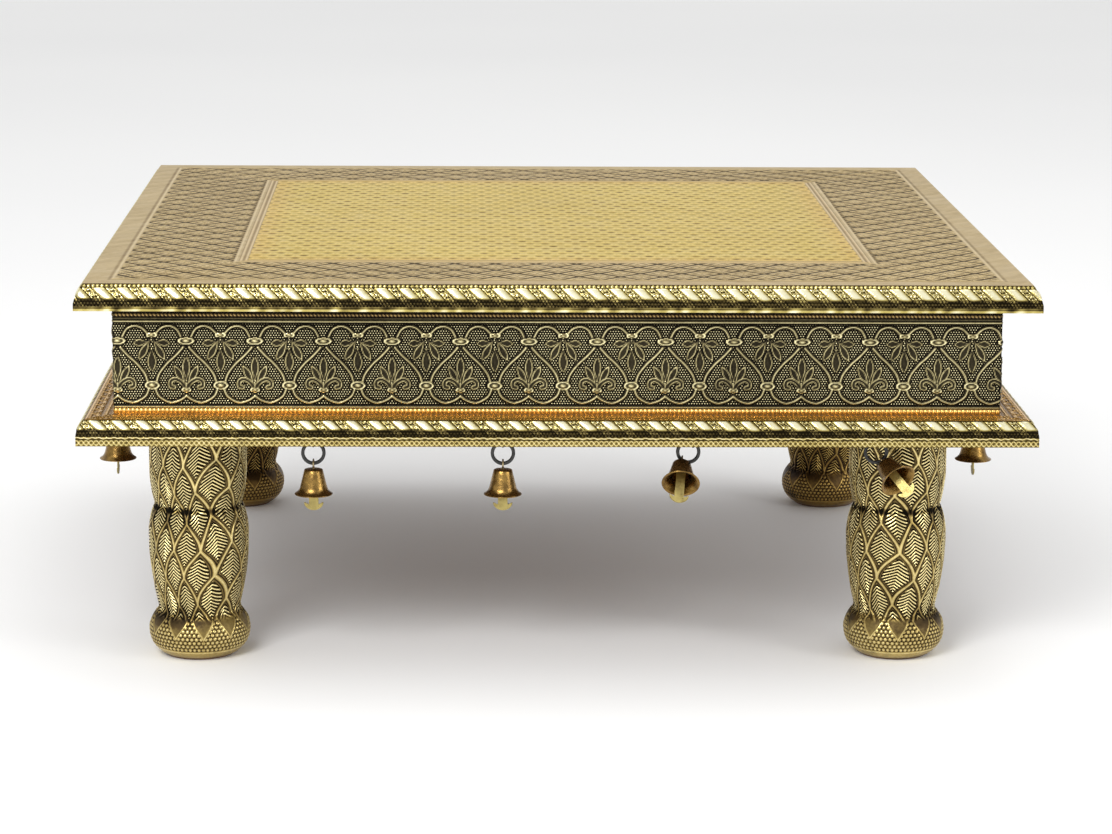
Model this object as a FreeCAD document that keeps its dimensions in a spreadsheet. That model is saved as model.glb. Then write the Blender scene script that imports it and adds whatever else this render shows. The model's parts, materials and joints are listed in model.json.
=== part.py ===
import FreeCAD, Part
import math
import os
import Sketcher

# A low square table of wood clad in embossed brass sheet: a moulded top slab, an apron box and a
# moulded base slab on four turned legs, with small bells that hang from the base slab's underside.
# Origin: on the floor under the centre of the table. X is along the front, -Y faces the front.

DIMENSIONS = {
    # slabs and apron
    "table_side": 406.0,
    "sheet": 0.4,
    "leg_height": 102.0,
    "base_thickness": 11.0,
    "apron_height": 46.5,
    "top_thickness": 11.5,
    "top_shoulder": 3.8,
    "top_fillet": 2.9,
    "top_ovolo": 18.0,
    "base_shoulder": 3.3,
    "base_fillet": 4.2,
    "base_ovolo": 11.0,
    "apron_inset": 14.6,
    "apron_board": 12.0,
    "corner_block": 17.0,
    "panel_border": 69.0,
    "panel_trim": 4.0,
    # turned leg: radii of the clad surface and their heights above the floor
    "leg_inset": 50.5,
    "leg_shift": -3.0,
    "leg_hem": 1.0,
    "leg_foot_radius": 16.2,
    "leg_bulb_curve": 11.8,
    "leg_bulb_top": 20.0,
    "leg_bulb_top_radius": 17.9,
    "leg_waist": 22.0,
    "leg_waist_radius": 17.6,
    "leg_taper_curve": 130.0,
    "leg_belly": 54.0,
    "leg_belly_radius": 21.6,
    "leg_shoulder_curve": 33.7,
    "leg_groove": 66.3,
    "leg_groove_radius": 19.25,
    "leg_neck": 67.3,
    "leg_neck_radius": 18.8,
    "leg_cap_curve": 66.0,
    "leg_cap": 84.0,
    "leg_cap_radius": 20.95,
    "screw_radius": 2.5,
    "screw_head_radius": 5.0,
    "screw_head": 2.5,
    "screw_bite": 26.0,
    # bells: heights count down from the base slab's underside
    "front_row_inset": 17.0,
    "left_row_inset": 9.0,
    "right_row_inset": 14.5,
    "back_row_inset": 17.0,
    "front_bell_1": -104.0,
    "front_bell_2": -23.4,
    "front_bell_3": 57.5,
    "front_bell_4": 134.0,
    "side_bell_offset": 112.0,
    "staple_wire": 1.0,
    "staple_span": 4.4,
    "staple_bite": 6.0,
    "staple_drop": 2.9,
    "ring_radius": 4.5,
    "ring_wire": 1.6,
    "running_gap": 0.05,
    "hook_radius": 1.8,
    "hook_wire": 0.8,
    "hook_gap": 0.4,
    "bell_drop": 13.0,
    "bell_height": 11.0,
    "bell_wall": 0.6,
    "bell_crown_radius": 4.0,
    "bell_waist_radius": 5.95,
    "bell_waist_drop": 8.5,
    "bell_lip_radius": 8.15,
    "bell_lip_curve": 4.6,
    "loop_radius": 1.4,
    "loop_drop": 1.9,
    "clapper_thickness": 0.6,
    "clapper_width": 4.2,
    "clapper_hole_radius": 1.25,
    "clapper_slack": 0.35,
    "clapper_bridge": 0.7,
    "clapper_reach": 14.7,
    "crescent_half_width": 4.15,
    "crescent_depth": 3.4,
    "crescent_shoulder": 1.0,
}

doc = FreeCAD.newDocument("brass_clad_table")
sheet = doc.addObject("Spreadsheet::Sheet", "dims")
for row, (alias, value) in enumerate(DIMENSIONS.items(), start=1):
    sheet.set(f"A{row}", alias)
    sheet.set(f"B{row}", str(value))
    sheet.setAlias(f"B{row}", alias)
doc.recompute()

X_AXIS = FreeCAD.Vector(1, 0, 0)
Y_AXIS = FreeCAD.Vector(0, 1, 0)
Z_AXIS = FreeCAD.Vector(0, 0, 1)

# Levels and half widths, as expressions of the sheet's cells.
HALF = "(dims.table_side / 2)"
UNDERSIDE = "dims.leg_height"
BASE_TOP = "(dims.leg_height + dims.base_thickness)"
APRON_TOP = f"({BASE_TOP} + dims.apron_height)"
TABLE_TOP = f"({APRON_TOP} + dims.top_thickness)"
TOP_WOOD = f"({TABLE_TOP} - dims.sheet)"
APRON_HALF = f"({HALF} - dims.apron_inset)"
APRON_WOOD_HALF = f"({APRON_HALF} - dims.sheet)"
APRON_INNER_HALF = f"({APRON_WOOD_HALF} - dims.apron_board)"
TOP_FIELD_HALF = f"({HALF} - dims.top_shoulder)"
PANEL_HALF = f"({HALF} - dims.panel_border)"
PANEL_TRIM_HALF = f"({PANEL_HALF} + dims.panel_trim)"
LEG_CENTRE = f"({HALF} - dims.leg_inset)"

# Levels of a hanging bell, counted down from the underside.
RING_CENTRE = (
    "(dims.staple_drop - dims.staple_wire / 2 - dims.running_gap"
    " + dims.ring_radius - dims.ring_wire / 2)"
)
RING_BOTTOM = f"({RING_CENTRE} + dims.ring_radius)"
HOOK_CENTRE = (
    f"({RING_BOTTOM} - dims.ring_wire / 2 - dims.hook_gap + dims.hook_radius - dims.hook_wire / 2)"
)
MOUTH = "(dims.bell_drop + dims.bell_height)"
LOOP_CENTRE = "(dims.bell_drop + dims.loop_drop)"
CLAPPER_PIVOT = f"({LOOP_CENTRE} + dims.loop_radius)"
CLAPPER_HOLE_TOP = f"({CLAPPER_PIVOT} - dims.hook_wire / 2 - dims.clapper_slack)"
CLAPPER_TOP = f"({CLAPPER_HOLE_TOP} - dims.clapper_bridge)"
CLAPPER_BOTTOM = f"({CLAPPER_PIVOT} + dims.clapper_reach)"
CRESCENT_TIP = f"({CLAPPER_BOTTOM} - dims.crescent_depth)"

LEGS = (("front_left", -1, -1), ("front_right", 1, -1), ("back_left", -1, 1), ("back_right", 1, 1))

# How each bell hangs at rest, in degrees: the ring's swing along its row, the bell's lean along the
# row out of line with its ring, the bell's tilt about the bottom of the ring (negative shows the mouth
# outwards), and the clapper's lean back in the bell.
RESTING = {"front_3": (37.0, -30.0, -53.0, 22.0), "front_4": (-37.0, -4.0, -48.0, 20.0)}
HANGING = (0.0, 0.0, 0.0, 0.0)

nodes = {}


def value(expression):
    return float(sheet.evalExpression(expression.replace("dims.", "")))


def bind(obj, **expressions):
    for name, expression in expressions.items():
        obj.setExpression(name.replace("__", "."), expression)
    return obj


def node(obj, name):
    obj.Label = name
    nodes[name] = obj
    return obj


def arc_middle(start, end, radius, outwards):
    """Middle of the arc from start to end that bulges to the right of the travel, or to the left."""
    chord = end - start
    sagitta = radius - math.sqrt(radius**2 - (chord.Length / 2) ** 2)
    side = FreeCAD.Vector(chord.y, -chord.x, 0).normalize()
    return (start + end) * 0.5 + side * (sagitta if outwards else -sagitta)


def outline(sketch, corners):
    """Close an outline through corners (x, y, radius of the arc to the next corner or None, bulge)."""
    points = [FreeCAD.Vector(value(x), value(y), 0) for x, y, *_ in corners]
    edges = []
    for index, (_, _, radius, outwards) in enumerate(corners):
        start = points[index]
        end = points[(index + 1) % len(points)]
        if radius is None:
            edges.append(sketch.addGeometry(Part.LineSegment(start, end)))
            continue
        middle = arc_middle(start, end, value(radius), outwards)
        edges.append(sketch.addGeometry(Part.Arc(start, middle, end)))
    ends = [ordered_ends(sketch, edge, points[index]) for index, edge in enumerate(edges)]
    for index, edge in enumerate(edges):
        following = (index + 1) % len(edges)
        sketch.addConstraint(
            Sketcher.Constraint("Coincident", edge, ends[index][1], edges[following], ends[following][0])
        )
        x, y, radius, _ = corners[index]
        place(sketch, "DistanceX", edge, ends[index][0], x)
        place(sketch, "DistanceY", edge, ends[index][0], y)
        if radius is not None:
            number = sketch.addConstraint(Sketcher.Constraint("Radius", edge, value(radius)))
            sketch.setExpression(f"Constraints[{number}]", radius)


def ordered_ends(sketch, edge, start):
    """Point numbers of an edge's first and last end along the outline."""
    from_first = sketch.getPoint(edge, 1).distanceToPoint(start)
    from_second = sketch.getPoint(edge, 2).distanceToPoint(start)
    return (1, 2) if from_first < from_second else (2, 1)


def place(sketch, kind, edge, point, expression):
    number = sketch.addConstraint(Sketcher.Constraint(kind, -1, 1, edge, point, value(expression)))
    sketch.setExpression(f"Constraints[{number}]", expression)


def new_sketch(body, role):
    sketch = body.newObject("Sketcher::SketchObject", body.Name + "_outline")
    plane = next(feature for feature in body.Origin.OriginFeatures if feature.Role == role)
    sketch.AttachmentSupport = [(plane, "")]
    sketch.MapMode = "FlatFace"
    return sketch


def padded(name, corners, length, role="XZ_Plane"):
    body = doc.addObject("PartDesign::Body", name)
    sketch = new_sketch(body, role)
    outline(sketch, corners)
    pad = body.newObject("PartDesign::Pad", name + "_pad")
    pad.Profile = sketch
    pad.Midplane = True
    bind(pad, Length=length)
    sketch.Visibility = False
    return body


def turned(name, corners):
    body = doc.addObject("PartDesign::Body", name)
    sketch = new_sketch(body, "XZ_Plane")
    outline(sketch, corners)
    revolution = body.newObject("PartDesign::Revolution", name + "_turning")
    revolution.Profile = sketch
    revolution.ReferenceAxis = (sketch, ["V_Axis"])
    revolution.Angle = 360.0
    return body


def box(name, x_size, y_size, low, high, x="0", y="0"):
    """A box centred on x, y between two levels."""
    block = doc.addObject("Part::Box", name)
    bind(block, Length=x_size, Width=y_size, Height=f"({high}) - ({low})")
    bind(block, Placement__Base__x=f"{x} - {x_size} / 2", Placement__Base__y=f"{y} - {y_size} / 2")
    return bind(block, Placement__Base__z=low)


def cylinder(name, radius, low, high, x="0", y="0"):
    rod = doc.addObject("Part::Cylinder", name)
    bind(rod, Radius=radius, Height=f"({high}) - ({low})")
    return bind(rod, Placement__Base__x=x, Placement__Base__y=y, Placement__Base__z=low)


def torus(name, radius, wire, level, rotation):
    loop = doc.addObject("Part::Torus", name)
    loop.Placement = FreeCAD.Placement(FreeCAD.Vector(), rotation)
    return bind(loop, Radius1=radius, Radius2=f"{wire} / 2", Placement__Base__z=f"-{level}")


def cut(name, base, tool):
    result = doc.addObject("Part::Cut", name)
    result.Base = base
    result.Tool = tool
    return result


def fused(name, pieces):
    result = doc.addObject("Part::MultiFuse", name)
    result.Shapes = pieces
    return result


def compound(name, pieces):
    result = doc.addObject("Part::Compound", name)
    result.Links = pieces
    return result


def moulded_slab(name, half, low, high, fillet, shoulder, curve):
    """A square slab with the same moulding on its four sides, mitred at the corners."""
    corners = [
        (f"-{half}", low, None, True),
        (half, low, None, True),
        (half, f"{low} + {fillet}", curve, True),
        (f"{half} - {shoulder}", high, None, True),
        (f"-({half} - {shoulder})", high, curve, True),
        (f"-{half}", f"{low} + {fillet}", None, True),
    ]
    along = padded(name + "_along", corners, "dims.table_side")
    across = padded(name + "_across", corners, "dims.table_side")
    across.Placement = FreeCAD.Placement(FreeCAD.Vector(), FreeCAD.Rotation(Z_AXIS, 90))
    slab = doc.addObject("Part::Common", name)
    slab.Base = along
    slab.Tool = across
    return slab


def make_top():
    """Top board, the skin over its moulded edge, and the border, trim and panel laid on it."""
    moulding = ("dims.top_fillet", "dims.top_shoulder", "dims.top_ovolo")
    solid = moulded_slab("top_clad_solid", HALF, APRON_TOP, TOP_WOOD, *moulding)
    board = moulded_slab("top_wood", f"({HALF} - dims.sheet)", APRON_TOP, TOP_WOOD, *moulding)
    node(board, "top_board")
    node(cut("top_edge_skin", solid, board), "top_edge_cladding")
    field = f"2 * {TOP_FIELD_HALF}"
    trim = f"2 * {PANEL_TRIM_HALF}"
    panel = f"2 * {PANEL_HALF}"
    whole = box("border_sheet", field, field, TOP_WOOD, TABLE_TOP)
    trim_cut = box("border_window", trim, trim, TOP_WOOD, TABLE_TOP)
    node(cut("border", whole, trim_cut), "top_border_sheet")
    trim_sheet = box("trim_sheet", trim, trim, TOP_WOOD, TABLE_TOP)
    panel_cut = box("trim_window", panel, panel, TOP_WOOD, TABLE_TOP)
    node(cut("trim", trim_sheet, panel_cut), "panel_trim")
    node(box("panel_sheet", panel, panel, TOP_WOOD, TABLE_TOP), "centre_panel")


def make_apron():
    """Four boards butted at the corners, a glue block in each corner, and one brass strip round them."""
    outer = f"2 * {APRON_WOOD_HALF}"
    middle = f"({APRON_WOOD_HALF} - dims.apron_board / 2)"
    thick = "dims.apron_board"
    for side, y in (("front", f"-{middle}"), ("back", middle)):
        node(box(f"apron_{side}", outer, thick, BASE_TOP, APRON_TOP, y=y), f"apron_board_{side}")
    for side, x in (("left", f"-{middle}"), ("right", middle)):
        length = f"2 * {APRON_INNER_HALF}"
        node(box(f"apron_{side}", thick, length, BASE_TOP, APRON_TOP, x=x), f"apron_board_{side}")
    block = "dims.corner_block"
    centre = f"({APRON_INNER_HALF} - dims.corner_block / 2)"
    blocks = []
    for index, (x_sign, y_sign) in enumerate(((-1, -1), (1, -1), (1, 1), (-1, 1))):
        place_x = f"{x_sign} * {centre}"
        place_y = f"{y_sign} * {centre}"
        blocks.append(box(f"glue_block_{index}", block, block, BASE_TOP, APRON_TOP, place_x, place_y))
    node(compound("glue_blocks", blocks), "corner_blocks")
    clad = f"2 * {APRON_HALF}"
    around = box("apron_strip_outer", clad, clad, BASE_TOP, APRON_TOP)
    inside = box("apron_strip_inner", outer, outer, BASE_TOP, APRON_TOP)
    node(cut("apron_strip", around, inside), "apron_cladding")


def leg_corners(inset):
    """The clad leg's outline from hem to top, moved inwards by inset."""
    stations = [
        ("leg_foot_radius", "leg_hem", "dims.leg_bulb_curve"),
        ("leg_bulb_top_radius", "leg_bulb_top", None),
        ("leg_waist_radius", "leg_waist", "dims.leg_taper_curve"),
        ("leg_belly_radius", "leg_belly", "dims.leg_shoulder_curve"),
        ("leg_groove_radius", "leg_groove", None),
        ("leg_neck_radius", "leg_neck", "dims.leg_cap_curve"),
        ("leg_cap_radius", "leg_cap", None),
        ("leg_cap_radius", "leg_height", None),
    ]
    return [(f"dims.{radius} - {inset}", f"dims.{level}", curve, True) for radius, level, curve in stations]


def reverse(corners):
    """The same edges in the opposite order, so that an arc still belongs to its own two corners."""
    backwards = []
    for index in range(len(corners) - 1, -1, -1):
        x, y, _, _ = corners[index]
        curve = corners[index - 1][2] if index else None
        backwards.append((x, y, curve, False))
    return backwards


def make_legs(screws):
    """Turned legs: a wooden core that stands on the floor, and a thin sheet wrapped round it."""
    core = [("0", "0", None, True), ("dims.leg_foot_radius - dims.sheet - dims.leg_hem", "0", None, True)]
    core += leg_corners("dims.sheet") + [("0", "dims.leg_height", None, True)]
    skin = leg_corners("0") + reverse(leg_corners("dims.sheet"))
    for name, x_sign, y_sign in LEGS:
        corner = {
            "Placement__Base__x": f"{x_sign} * {LEG_CENTRE} + dims.leg_shift",
            "Placement__Base__y": f"{y_sign} * {LEG_CENTRE}",
        }
        wood = bind(turned(f"leg_wood_{name}", core), **corner)
        node(cut(f"leg_core_{name}", wood, screws[name]), f"leg_{name}")
        node(bind(turned(f"leg_skin_{name}", skin), **corner), f"leg_cladding_{name}")


def make_leg_screws():
    """A screw through the base board into each leg, its head on the board inside the apron box."""
    screws = {}
    for name, x_sign, y_sign in LEGS:
        x = f"{x_sign} * {LEG_CENTRE} + dims.leg_shift"
        y = f"{y_sign} * {LEG_CENTRE}"
        tip = f"({UNDERSIDE} - dims.screw_bite)"
        head_top = f"({BASE_TOP} + dims.screw_head)"
        shank = cylinder(f"screw_shank_{name}", "dims.screw_radius", tip, BASE_TOP, x, y)
        head = cylinder(f"screw_head_{name}", "dims.screw_head_radius", BASE_TOP, head_top, x, y)
        screws[name] = fused(f"screw_{name}", [shank, head])
    node(compound("screws", list(screws.values())), "leg_screws")
    return screws


def make_base(fixings):
    """Base board with a raised field under the apron, drilled for its fixings, and its edge's skin."""
    moulding = ("dims.base_fillet", "dims.base_shoulder", "dims.base_ovolo")
    solid = moulded_slab("base_clad_solid", HALF, UNDERSIDE, BASE_TOP, *moulding)
    ledge = f"({BASE_TOP} - dims.sheet)"
    low_board = moulded_slab("base_wood_low", f"({HALF} - dims.sheet)", UNDERSIDE, ledge, *moulding)
    raised = f"2 * {APRON_HALF}"
    field = box("base_wood_field", raised, raised, UNDERSIDE, BASE_TOP)
    board = fused("base_wood", [low_board, field])
    node(cut("base_skin", solid, board), "base_edge_cladding")
    node(cut("base_drilled", board, fixings), "base_board")


def staple(name):
    """A wire staple driven up into the underside: its bar runs across the row."""
    radius = "dims.staple_wire / 2"
    half_span = "(dims.staple_span / 2)"
    bar = doc.addObject("Part::Cylinder", name + "_bar")
    bar.Placement = FreeCAD.Placement(FreeCAD.Vector(), FreeCAD.Rotation(X_AXIS, -90))
    bind(bar, Radius=radius, Height="dims.staple_span")
    bind(bar, Placement__Base__y=f"-{half_span}", Placement__Base__z="-dims.staple_drop")
    pieces = [bar]
    for index, sign in enumerate((-1, 1)):
        y = f"{sign} * {half_span}"
        pieces.append(
            cylinder(f"{name}_leg_{index}", radius, "-dims.staple_drop", "dims.staple_bite", y=y)
        )
        bend = doc.addObject("Part::Sphere", f"{name}_bend_{index}")
        bind(bend, Radius=radius, Placement__Base__y=y, Placement__Base__z="-dims.staple_drop")
        pieces.append(bend)
    return fused(name, pieces)


def bell(name):
    """A flared cup with a wire hook over the ring and a wire loop inside for the clapper."""
    top = "-dims.bell_drop"
    waist = "-(dims.bell_drop + dims.bell_waist_drop)"
    mouth = f"-{MOUTH}"
    wall = "dims.bell_wall"
    cup = turned(
        f"{name}_cup",
        [
            ("0", f"{top} - {wall}", None, True),
            (f"dims.bell_crown_radius - {wall}", f"{top} - {wall}", None, True),
            (f"dims.bell_waist_radius - {wall}", waist, "dims.bell_lip_curve", True),
            (f"dims.bell_lip_radius - {wall}", mouth, None, True),
            ("dims.bell_lip_radius", mouth, "dims.bell_lip_curve", False),
            ("dims.bell_waist_radius", waist, None, True),
            ("dims.bell_crown_radius", top, None, True),
            ("0", top, None, True),
        ],
    )
    across = FreeCAD.Rotation(Y_AXIS, 90)
    hook = torus(f"{name}_hook", "dims.hook_radius", "dims.hook_wire", HOOK_CENTRE, across)
    loop = torus(f"{name}_loop", "dims.loop_radius", "dims.hook_wire", LOOP_CENTRE, across)
    stem = cylinder(
        f"{name}_stem", "dims.hook_wire / 2", f"{top} - {wall} / 2", f"-({HOOK_CENTRE} + dims.hook_radius)"
    )
    return fused(name, [cup, hook, loop, stem])


def clapper(name):
    """A flat plate: a stem with a hole for the loop, ending in a crescent below the mouth."""
    half = "(dims.clapper_width / 2)"
    horn = "dims.crescent_half_width"
    shoulder = f"-({CRESCENT_TIP} + dims.crescent_shoulder)"
    tip = f"-{CRESCENT_TIP}"
    curve = "(dims.crescent_half_width ^ 2 / (2 * dims.crescent_depth) + dims.crescent_depth / 2)"
    plate = padded(
        f"{name}_plate",
        [
            (f"-{horn}", tip, curve, True),
            (horn, tip, None, True),
            (half, shoulder, None, True),
            (half, f"-{CLAPPER_TOP}", None, True),
            (f"-{half}", f"-{CLAPPER_TOP}", None, True),
            (f"-{half}", shoulder, None, True),
        ],
        "dims.clapper_thickness",
    )
    punch = doc.addObject("Part::Cylinder", f"{name}_punch")
    punch.Placement = FreeCAD.Placement(FreeCAD.Vector(), FreeCAD.Rotation(X_AXIS, -90))
    bind(punch, Radius="dims.clapper_hole_radius", Height="2 * dims.clapper_width")
    bind(
        punch,
        Placement__Base__y="-dims.clapper_width",
        Placement__Base__z=f"-({CLAPPER_HOLE_TOP} + dims.clapper_hole_radius)",
    )
    return cut(name, plate, punch)


def bell_places():
    """Name, x, y and turn about Z of each bell: the turn carries the front row's -Y to its own side."""
    places = []
    half = value(HALF)
    for number in range(1, 5):
        x = value(f"dims.front_bell_{number}")
        places.append((f"front_{number}", x, -half + value("dims.front_row_inset"), 0))
        places.append((f"back_{number}", -x, half - value("dims.back_row_inset"), 180))
    for index, sign in enumerate((-1, 1)):
        y = sign * value("dims.side_bell_offset")
        places.append((f"left_{index + 1}", -half + value("dims.left_row_inset"), y, -90))
        places.append((f"right_{index + 1}", half - value("dims.right_row_inset"), y, 90))
    return places


def turn_about(axis, angle, level):
    """Turn about an axis through the bell's centre line, a level below the underside."""
    centre = FreeCAD.Vector(0, 0, -value(level))
    return FreeCAD.Placement(FreeCAD.Vector(), FreeCAD.Rotation(axis, angle), centre)


def bell_frames(name, x, y, turn):
    """Placements of the staple, ring, bell and clapper, each hung on the one before."""
    swing, slant, tilt, lean = RESTING.get(name, HANGING)
    origin = FreeCAD.Vector(x, y, value(UNDERSIDE))
    hung = FreeCAD.Placement(origin, FreeCAD.Rotation(Z_AXIS, turn))
    ring = hung.multiply(turn_about(Y_AXIS, swing, "dims.staple_drop"))
    slanted = ring.multiply(turn_about(Y_AXIS, slant, RING_BOTTOM))
    cup = slanted.multiply(turn_about(X_AXIS, tilt, RING_BOTTOM))
    tongue = cup.multiply(turn_about(X_AXIS, lean, CLAPPER_PIVOT))
    return hung, ring, cup, tongue


def make_bells():
    """Bells on rings on staples. Returns the staples, for the holes in the base board."""
    staples = []
    for name, x, y, turn in bell_places():
        hung, ring_frame, cup_frame, tongue_frame = bell_frames(name, x, y, turn)
        wire = staple(f"staple_{name}")
        wire.Placement = hung
        staples.append(wire)
        ring = doc.addObject("Part::Torus", f"ring_{name}")
        bind(ring, Radius1="dims.ring_radius", Radius2="dims.ring_wire / 2")
        upright = FreeCAD.Placement(FreeCAD.Vector(0, 0, -value(RING_CENTRE)), FreeCAD.Rotation(X_AXIS, 90))
        ring.Placement = ring_frame.multiply(upright)
        node(ring, f"bell_ring_{name}")
        cup = bell(f"cup_{name}")
        cup.Placement = cup_frame
        node(cup, f"bell_{name}")
        tongue = clapper(f"tongue_{name}")
        tongue.Placement = tongue_frame
        node(tongue, f"bell_clapper_{name}")
    return node(compound("staples", staples), "bell_staples")


def check_document():
    for obj in doc.Objects:
        if "Invalid" in obj.State or "Error" in obj.State:
            raise RuntimeError(f"{obj.Name} failed: {obj.State}")
    for name, obj in nodes.items():
        if obj.Shape.isNull() or not obj.Shape.isValid():
            raise RuntimeError(f"{name} has no valid shape")
        if not obj.Shape.Solids:
            raise RuntimeError(f"{name} has no solid")


make_top()
make_apron()
leg_screws = make_leg_screws()
make_legs(leg_screws)
bell_staples = make_bells()
make_base(compound("base_fixings", [bell_staples] + list(leg_screws.values())))
doc.recompute()
check_document()
os.makedirs("parts", exist_ok=True)
for node_name, node_object in nodes.items():
    node_object.Shape.exportStep(f"parts/{node_name}.step")
print(len(nodes), "nodes")
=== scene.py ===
import json
import math

import bpy
import numpy as np
from mathutils import Matrix, Vector

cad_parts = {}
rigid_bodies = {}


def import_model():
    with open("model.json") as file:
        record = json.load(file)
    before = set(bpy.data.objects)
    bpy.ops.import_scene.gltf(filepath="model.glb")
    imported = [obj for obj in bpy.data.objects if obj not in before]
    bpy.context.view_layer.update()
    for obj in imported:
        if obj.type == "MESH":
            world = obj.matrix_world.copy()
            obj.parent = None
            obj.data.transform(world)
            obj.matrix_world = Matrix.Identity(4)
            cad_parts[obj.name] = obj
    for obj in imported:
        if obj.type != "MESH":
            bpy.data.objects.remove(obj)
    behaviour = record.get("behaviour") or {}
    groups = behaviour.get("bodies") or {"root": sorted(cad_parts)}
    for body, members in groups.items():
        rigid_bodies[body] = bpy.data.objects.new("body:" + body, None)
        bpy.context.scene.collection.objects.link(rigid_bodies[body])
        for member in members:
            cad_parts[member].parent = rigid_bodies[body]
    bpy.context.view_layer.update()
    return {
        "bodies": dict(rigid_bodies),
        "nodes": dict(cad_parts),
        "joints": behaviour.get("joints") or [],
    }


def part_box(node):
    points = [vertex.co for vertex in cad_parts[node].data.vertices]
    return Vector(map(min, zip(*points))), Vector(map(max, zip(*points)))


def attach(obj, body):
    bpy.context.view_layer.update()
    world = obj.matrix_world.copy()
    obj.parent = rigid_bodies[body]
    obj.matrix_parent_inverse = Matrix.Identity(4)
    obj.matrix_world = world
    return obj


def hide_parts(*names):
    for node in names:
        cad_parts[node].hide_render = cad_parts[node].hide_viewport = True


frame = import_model()
MM = 0.001


# ---------- sizes, in millimetres, from the frame


def node_box(name):
    low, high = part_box(name)
    return [c / MM for c in low], [c / MM for c in high]


TABLE_HALF = node_box("top_edge_cladding")[1][0]
TABLE_TOP = node_box("centre_panel")[1][2]
TOP_UNDER = node_box("top_edge_cladding")[0][2]
BASE_TOP = node_box("base_edge_cladding")[1][2]
BASE_UNDER = node_box("base_edge_cladding")[0][2]
APRON_HALF = node_box("apron_cladding")[1][0]
PANEL_HALF = node_box("centre_panel")[1][0]
TRIM_HALF = node_box("panel_trim")[1][0]
BORDER_HALF = node_box("top_border_sheet")[1][0]
# how far the ground of the relief lies behind the smooth sheets' faces: on apron and legs, and elsewhere
SHEET_DEPTH = 0.3
FOIL = 0.33
LEG_NAMES = ("front_left", "front_right", "back_left", "back_right")
SIDES = ("front", "right", "back", "left")


# ---------- shape helpers


def smooth(low, high, x):
    """0 below low, 1 above high, and a smooth rise between."""
    t = np.clip((x - low) / (high - low), 0, 1)
    return t * t * (3 - 2 * t)


def ridge(distance, half_width):
    """A rounded ridge, 1 on its line and 0 beyond its half width."""
    t = np.clip(np.abs(distance) / half_width, 0, 1)
    return (1 - t * t) ** 1.5


def dome(distance):
    """A round bead, 1 at its centre and 0 from distance 1 on."""
    return np.sqrt(np.clip(1 - distance**2, 0, 1))


def from_nearest(x, pitch):
    """Signed distance from the nearest of a row of evenly spaced places, half a pitch either side of 0."""
    return ((x / pitch) % 1 - 0.5) * pitch


def to_path(x, y, points):
    """Distance of each x, y from a run of points."""
    best = np.full(np.shape(x), 1e9)
    for (ax, ay), (bx, by) in zip(points[:-1], points[1:], strict=True):
        dx, dy = bx - ax, by - ay
        t = np.clip(((x - ax) * dx + (y - ay) * dy) / (dx * dx + dy * dy), 0, 1)
        best = np.minimum(best, np.hypot(x - ax - t * dx, y - ay - t * dy))
    return best


SPLINE_STEPS = 8


def spline(points):
    """A smooth run of points through the given ones."""
    p = np.array([points[0], *points, points[-1]], float)
    run = []
    for a, b, c, d in zip(p[:-3], p[1:-2], p[2:-1], p[3:], strict=True):
        for t in np.arange(SPLINE_STEPS) / SPLINE_STEPS:
            run.append(
                0.5 * (2 * b + (c - a) * t + (2 * a - 5 * b + 4 * c - d) * t * t
                       + (3 * b - a - 3 * c + d) * t**3)
            )
    run.append(p[-2])
    return [tuple(q) for q in run]


def leaf(x, y, root, tip, width, fullest):
    """Signed distance to a pointed leaf between two points, negative inside. It is widest where fullest
    says, 0 at the root to 1 at the tip."""
    root, tip = np.array(root, float), np.array(tip, float)
    length = np.hypot(*(tip - root))
    along = (tip - root) / length
    s = ((x - root[0]) * along[0] + (y - root[1]) * along[1]) / length
    off = np.abs((x - root[0]) * -along[1] + (y - root[1]) * along[0])
    bent = np.clip(s, 0, 1) ** (math.log(0.5) / math.log(fullest))
    past = np.maximum(np.maximum(-s, s - 1), 0) * length
    return off - width * np.sin(np.pi * bent) + past


def oval(x, y, centre, half_x, half_y):
    """0 at the centre of an oval and 1 on its edge."""
    return np.hypot((x - centre[0]) / half_x, (y - centre[1]) / half_y)


def hollow_noise(x, y, seed):
    """Gentle hand-made unevenness between -1 and 1."""
    rng = np.random.default_rng(seed)
    total = np.zeros(np.shape(x))
    for _ in range(6):
        fx, fy, phase = rng.uniform(0.02, 0.09), rng.uniform(0.02, 0.12), rng.uniform(0, 6.28)
        total += np.sin(fx * x + fy * y + phase)
    return total / 6


def link(mesh, name):
    piece = bpy.data.objects.new(name, mesh)
    bpy.context.scene.collection.objects.link(piece)
    return piece


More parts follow.
